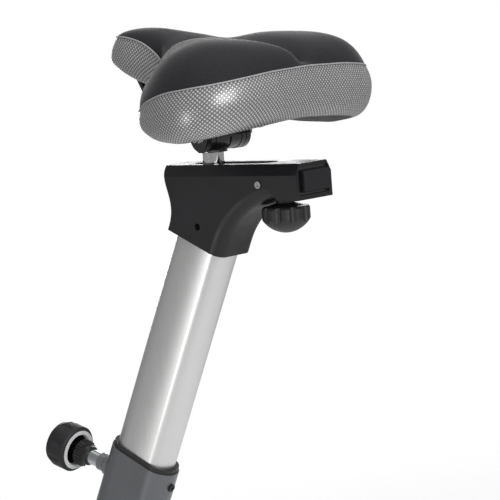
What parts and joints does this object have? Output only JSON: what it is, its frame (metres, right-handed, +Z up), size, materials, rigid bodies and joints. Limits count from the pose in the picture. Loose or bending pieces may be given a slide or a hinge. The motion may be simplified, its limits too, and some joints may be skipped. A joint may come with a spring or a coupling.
{
  "type": "exercise bike seat assembly",
  "caption": "Padded two-lobed bike saddle on a clamp, sliding head and leaning post in a frame tube, with a pull pin and a lock knob.",
  "frame": {"origin": "centre of the frame seat tube's lower end", "axes": "+Z up, the rider faces -Y, +X is the rider's left"},
  "size_m": [0.272, 0.3936, 0.688],
  "materials": {
    "frame_paint": "satin dark grey powder coat",
    "boss_paint": "grey weld boss",
    "black_nylon": "black moulded nylon",
    "black_steel": "black oxide fastener",
    "zinc": "zinc plated",
    "spring_steel": "bare spring wire",
    "grip_rubber": "matte black rubbery knob",
    "ring_grey": "light grey ring",
    "brass": "threaded insert",
    "post_silver": "satin silver",
    "head_black": "satin black ABS cover",
    "chrome": "polished chrome",
    "clamp_black": "gloss black",
    "knob_black": "black moulded knob",
    "bar_steel": "plated steel",
    "saddle_top": "matte charcoal stretch fabric",
    "saddle_side": "silver dimpled vinyl",
    "saddle_shell": "black polypropylene shell",
    "foam": "moulded foam, hidden"
  },
  "bodies": {
    "frame": {"seat_tube": "frame_paint", "tube_bushing": "black_nylon", "bushing_screw": "black_steel", "pin_boss": "boss_paint"},
    "pin_sleeve": {"pin_barrel": "zinc", "spline_collar": "black_nylon", "pin_spring": "spring_steel"},
    "pull_pin_body": {"pull_pin": "zinc", "pull_cap": "grip_rubber", "cap_ring": "ring_grey", "cap_insert": "brass"},
    "post": {"seat_post": "post_silver", "post_plug": "black_nylon", "head_channel": "bar_steel", "lock_nut": "zinc", "front_liner": "black_nylon", "rear_liner": "black_nylon", "head_cover_left": "head_black", "head_cover_right": "head_black", "side_screws": "chrome", "neck_screws": "black_steel"},
    "slide": {"slide_bar": "bar_steel", "saddle_stub": "chrome", "bar_plug_front": "black_nylon", "bar_plug_rear": "head_black"},
    "swivel": {"clamp_block": "clamp_black"},
    "saddle": {"clamp_inner_ears": "clamp_black", "clamp_outer_ears": "clamp_black", "clamp_bolt": "black_steel", "clamp_washers": "zinc", "clamp_nuts": "zinc", "saddle_rails": "clamp_black", "saddle_cover": "saddle_top", "saddle_skirt": "saddle_side", "saddle_pan": "saddle_shell", "saddle_foam": "foam", "front_rail_socket": "saddle_shell", "rear_rail_holders": "saddle_shell"},
    "lock_pad": {"pressure_pad": "zinc"},
    "lock_knob_body": {"lock_screw": "zinc", "lock_knob": "knob_black"}
  },
  "joints": [
    {"name": "sleeve_turn", "type": "hinge", "parent": "frame", "child": "pin_sleeve", "pos_m": [0, 0.05472, 0.21436], "axis": [0, -0.9563, 0.2924], "range_deg": [-360, 0]},
    {"name": "pin_pull", "type": "slide", "parent": "pin_sleeve", "child": "pull_pin_body", "axis": [0, -0.9563, 0.2924], "range_m": [-0.008, 0]},
    {"name": "post_height", "type": "slide", "parent": "frame", "child": "post", "axis": [0, 0.4226, 0.9063], "range_m": [-0.125, 0.025]},
    {"name": "seat_slide", "type": "slide", "parent": "post", "child": "slide", "axis": [0, 1, 0], "range_m": [-0.008, 0.066]},
    {"name": "saddle_swivel", "type": "hinge", "parent": "slide", "child": "swivel", "pos_m": [0, 0.22566, 0.55247], "axis": [0, 0, 1], "continuous": true},
    {"name": "saddle_tilt", "type": "hinge", "parent": "swivel", "child": "saddle", "pos_m": [0, 0.23798, 0.56302], "axis": [1, 0, 0], "range_deg": [-10, 10]},
    {"name": "pad_lift", "type": "slide", "parent": "post", "child": "lock_pad", "axis": [0, 0, 1], "range_m": [-0.003, 0]},
    {"name": "knob_turn", "type": "hinge", "parent": "lock_pad", "child": "lock_knob_body", "pos_m": [0, 0.31316, 0.48247], "axis": [0, 0, 1], "range_deg": [-720, 0]}
  ],
  "couplings": [
    {"joint": "knob_turn", "follows": "pad_lift", "rad_per_m": 4188.8}
  ]
}
